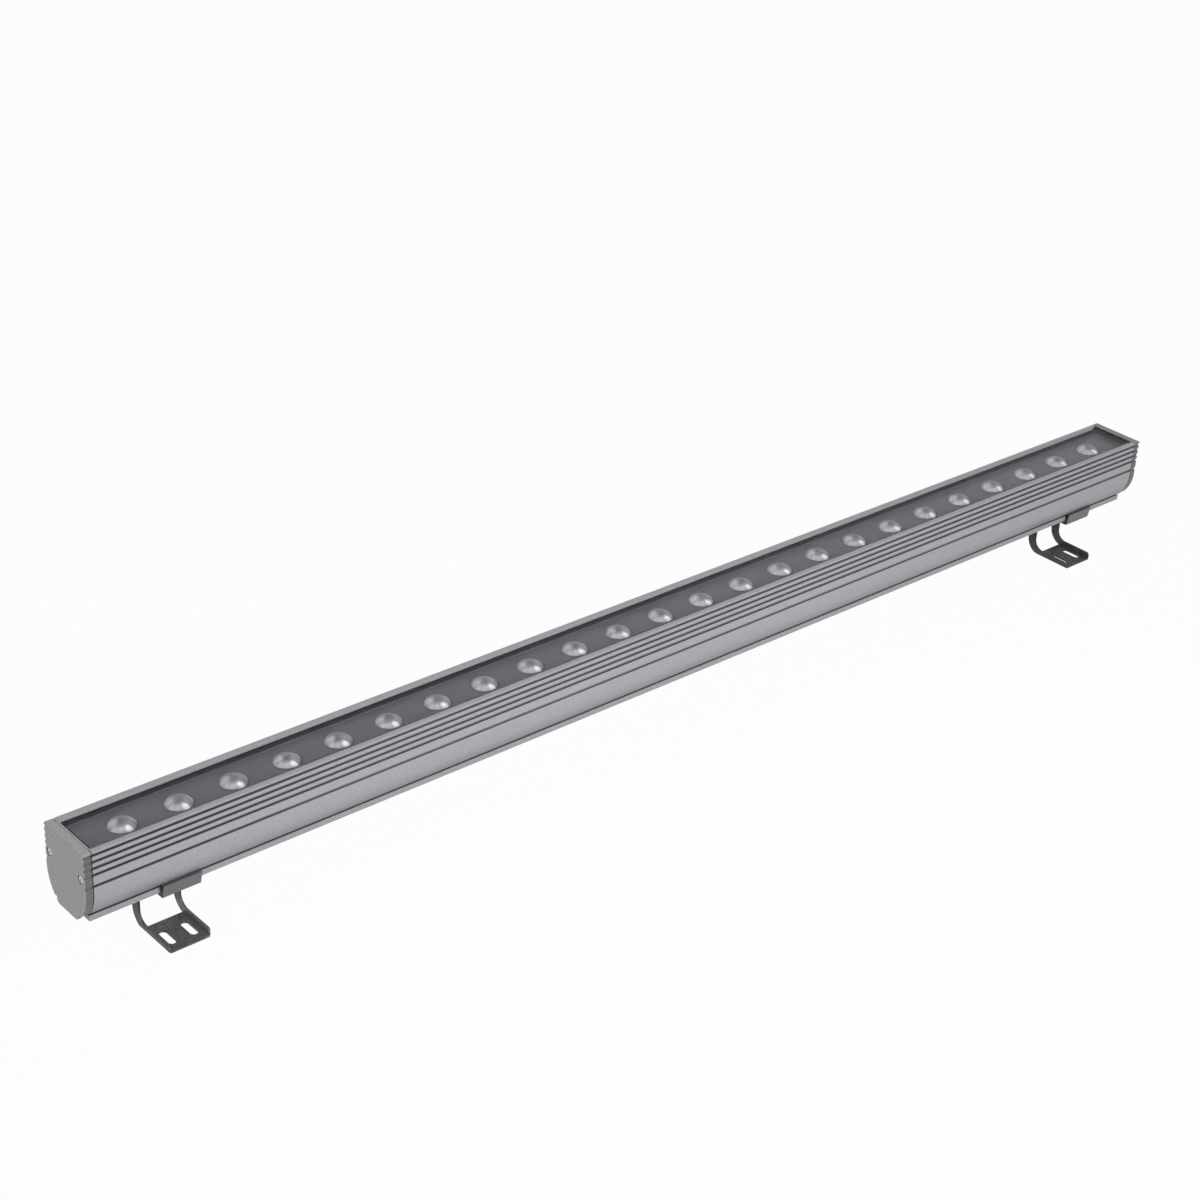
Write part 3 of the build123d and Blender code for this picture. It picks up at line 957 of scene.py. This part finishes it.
class LIGHTBAR_OT_gland(bpy.types.Operator):
    """Model the gland's domed nut and finish the rest of the gland"""

    bl_idname = "light_bar.gland"
    bl_label = "Gland"

    def execute(self, context):
        nylon = moulded("black nylon", colours().gland, roughness=0.42, pebble=0.0005)
        rubber = moulded("gland rubber", colours().seal, roughness=0.7)
        stand_for(softened("gland_body", sizes().gland_edge), "gland_body", nylon)
        dress("gland_locknut", nylon)
        dress("gland_washer", rubber)
        dress("gland_seal", rubber)
        stand_for(self.nut(), "gland_nut", nylon)
        return {"FINISHED"}

    def nut(self):
        """The nut: a hexagon collar under a ribbed dome, open for a cord."""
        low, high, middle = span("gland_nut")
        flat = (high.z - low.z) / 2
        corner = flat * 2 / sqrt(3)
        length = high.x - low.x
        collar = turned("gland_nut_domed", [(corner, 0), (corner, length * 0.55)], HEXAGON)
        round_edges(collar, sizes().nut_edge)
        nut = carved(collar, self.dome(flat, length), "UNION")
        seal_low, seal_high, _ = span("gland_seal")
        throat = (seal_high.z - seal_low.z) / 2 * 0.8
        carved(nut, turned("throat", [(throat, -length * 0.1), (throat, length * 1.1)], 40))
        smooth(nut)
        return placed(nut, (low.x, middle.y, middle.z), facing(1))

    def dome(self, flat, length):
        """The nut's dome, with gaps cut down it between its ribs."""
        profile = [(flat * 0.97, length * 0.3)]
        for i in range(DOME_RINGS + 1):
            turn = i / DOME_RINGS * DOME_TURN
            rise = sin(turn) / sin(DOME_TURN)
            profile.append((flat * (0.45 + 0.52 * cos(turn)), length * (0.56 + 0.44 * rise)))
        dome = turned("dome", profile)
        radius = sizes().nut_gap
        out = flat * 0.99
        for i in range(sizes().nut_ribs):
            turn = i / sizes().nut_ribs * 2 * pi
            gap = turned("rib_gap", [(radius, length * 0.6), (radius, length * 1.1)], 12)
            carved(dome, placed(gap, (out * cos(turn), out * sin(turn), 0)))
        return dome


class LIGHTBAR_OT_feet(bpy.types.Operator):
    """Finish the clips and feet, and model the screws that lock and carry them"""

    bl_idname = "light_bar.feet"
    bl_label = "Feet"

    def execute(self, context):
        steel = stainless("pivot steel", colours().steel)
        for end in ENDS:
            foot, clip = f"bracket_{end}", f"rail_clip_{end}"
            # Each foot gets its own copy of the coat; their colours differ only by painted light and shade
            coat = coated_metal(
                f"dark coated foot {end}",
                getattr(colours(), f"foot_{end}"),
                roughness=0.45,
                pebble=0.002,
                mottle=0.45,
                painted_shade=foot_shade,
                rub=foot_painted_highlight(foot) if end == "left" else None,
            )
            plain = drawn_aluminium(
                f"plain clip {end}", colours().clip, metallic=0.6, painted_shade_mask=clip_shade(clip)
            )
            stand_for(softened(foot, sizes().foot_edge), foot, coat)
            stand_for(softened(clip, sizes().clip_edge), clip, plain)
            dress(f"pivot_washers_{end}", steel)
            stand_for(self.pivot_pair(end), f"pivot_screws_{end}", steel)
            stand_for(self.set_screw(end), f"set_screw_{end}", steel)
        return {"FINISHED"}

    def pivot_pair(self, end):
        """The two button screws that a foot tilts on."""
        low, high, middle = span(f"pivot_screws_{end}")
        _, washer_high, _ = span(f"pivot_washers_{end}")
        radius = (high.z - low.z) / 2
        height = high.x - washer_high.x
        master = button_screw(radius, height, radius * PIVOT_SHANK, radius * PIVOT_REACH)
        seats = {-1: low.x + height, 1: high.x - height}
        spots = [((seat, middle.y, middle.z), facing(side)) for side, seat in seats.items()]
        return repeated(master, f"pivot_pair_{end}", spots)

    def set_screw(self, end):
        """The headless screw that locks a clip, with its socket underneath."""
        low, high, middle = span(f"set_screw_{end}")
        radius = (high.x - low.x) / 2
        length = high.z - low.z
        profile = [(radius * 0.7, 0), (radius, radius * 0.25)]
        profile += [(radius, length - radius * 0.2), (radius * 0.85, length)]
        screw = turned(f"grub_{end}", profile, 32)
        carved(screw, hex_key_socket(sizes().set_key, length * 0.45, length))
        smooth(screw)
        return placed(screw, (middle.x, middle.y, high.z), (pi, 0, 0))


# Stage

LAMPS = {
    "key": {"place": (-0.1, -1.0, 0.6), "target": (-0.1, 0, 0.07), "size": (0.7, 0.5)},
    "fill": {"place": (-2.3, -0.5, 0.9), "target": (-0.5, 0, 0.07), "size": (0.8, 0.8)},
}
FLOOR_SIZE = 30
SIGHT_LIMIT = 50


def area_lamp(name, place, target, size, power):
    """A soft rectangular lamp that shines on a point."""
    bpy.ops.object.select_all(action="DESELECT")
    bpy.ops.object.light_add(type="AREA", location=place)
    lamp = bpy.context.object
    lamp.name = name
    lamp.rotation_euler = (Vector(target) - Vector(place)).to_track_quat("-Z", "Y").to_euler()
    lamp.data.shape = "RECTANGLE"
    lamp.data.size, lamp.data.size_y = size
    lamp.data.energy = power


def plain_white_rays(finish):
    """1 for rays that see the background: from the camera, a mirror or glass."""
    path = finish.node("LightPath").output.node
    rays = ("Camera", "Glossy", "Transmission")
    seen = [Socket(finish, path.outputs[f"Is {ray} Ray"]) for ray in rays]
    return finish.maths("MINIMUM", seen[0] + seen[1] + seen[2], 1.0)


class LIGHTBAR_OT_stage(bpy.types.Operator):
    """Set up the camera, the floor, the sky and the lamps"""

    bl_idname = "light_bar.stage"
    bl_label = "Stage"

    def execute(self, context):
        self.camera(context.scene)
        self.floor()
        self.sky(context.scene)
        for name, lamp in LAMPS.items():
            area_lamp(f"{name}_lamp", power=getattr(staging(), name), **lamp)
        context.scene.view_settings.view_transform = "Standard"
        return {"FINISHED"}

    def camera(self, scene):
        """The photograph's viewpoint."""
        bpy.ops.object.select_all(action="DESELECT")
        bpy.ops.object.camera_add(location=staging().camera_place)
        camera = bpy.context.object
        look = Euler((pi / 2 - staging().dip, 0, -staging().heading)).to_matrix()
        camera.rotation_euler = (look @ Matrix.Rotation(staging().roll, 3, "Z")).to_euler()
        camera.data.lens = staging().lens
        camera.data.clip_end = SIGHT_LIMIT
        scene.camera = camera

    def floor(self):
        """A wide white floor that keeps a soft shadow, low enough for a foot to tip down."""
        bpy.ops.object.select_all(action="DESELECT")
        bpy.ops.mesh.primitive_plane_add(size=FLOOR_SIZE, location=(0, 0, -staging().floor_drop))
        floor = bpy.context.object
        floor.name = "floor"
        finish = new_finish("white floor")
        plain = finish.node("BsdfDiffuse", {"Color": tone(colours().floor, 1.0)})
        white = finish.node("Emission", {"Color": WHITE, "Strength": 1.0})
        share = plain_white_rays(finish) * staging().floor_glow
        floor.data.materials.append(finish.show(finish.node("MixShader", {0: share, 1: plain, 2: white})))

    def sky(self, scene):
        """Even white light, seen as plain white."""
        scene.world = bpy.data.worlds.new("studio")
        finish = Finish(scene.world)
        dim = finish.node("Background", {"Color": WHITE, "Strength": staging().sky})
        white = finish.node("Background", {"Color": WHITE, "Strength": 1.0})
        share = plain_white_rays(finish)
        finish.show(finish.node("MixShader", {0: share, 1: dim, 2: white}), "OutputWorld")


# Add-on

STEPS = (
    LIGHTBAR_OT_stage,
    LIGHTBAR_OT_housing,
    LIGHTBAR_OT_lamps,
    LIGHTBAR_OT_driver,
    LIGHTBAR_OT_cap_screws,
    LIGHTBAR_OT_gland,
    LIGHTBAR_OT_feet,
)


class LIGHTBAR_PT_panel(bpy.types.Panel):
    """The light bar's steps and settings"""

    bl_idname = "LIGHTBAR_PT_panel"
    bl_label = "Light bar"
    bl_space_type = "VIEW_3D"
    bl_region_type = "UI"
    bl_category = "Light bar"

    def draw(self, context):
        for step in STEPS:
            self.layout.operator(step.bl_idname)
        for group in (sizes(), colours(), staging()):
            box = self.layout.box()
            for name in group.__annotations__:
                box.prop(group, name)


GROUPS = {
    "light_bar_sizes": LightBarSizes,
    "light_bar_colours": LightBarColours,
    "light_bar_stage": LightBarStage,
}


def register():
    """Add the settings, the operators and the panel."""
    for name, group in GROUPS.items():
        bpy.utils.register_class(group)
        setattr(bpy.types.Scene, name, PointerProperty(type=group))
    for item in (*STEPS, LIGHTBAR_PT_panel):
        bpy.utils.register_class(item)


def unregister():
    """Take away what register added."""
    for item in (LIGHTBAR_PT_panel, *reversed(STEPS)):
        bpy.utils.unregister_class(item)
    for name, group in GROUPS.items():
        delattr(bpy.types.Scene, name)
        bpy.utils.unregister_class(group)


def main():
    """Build everything in order."""
    register()
    bpy.ops.light_bar.stage()
    bpy.ops.light_bar.housing()
    bpy.ops.light_bar.lamps()
    bpy.ops.light_bar.driver()
    bpy.ops.light_bar.cap_screws()
    bpy.ops.light_bar.gland()
    bpy.ops.light_bar.feet()


if __name__ == "__main__":
    main()
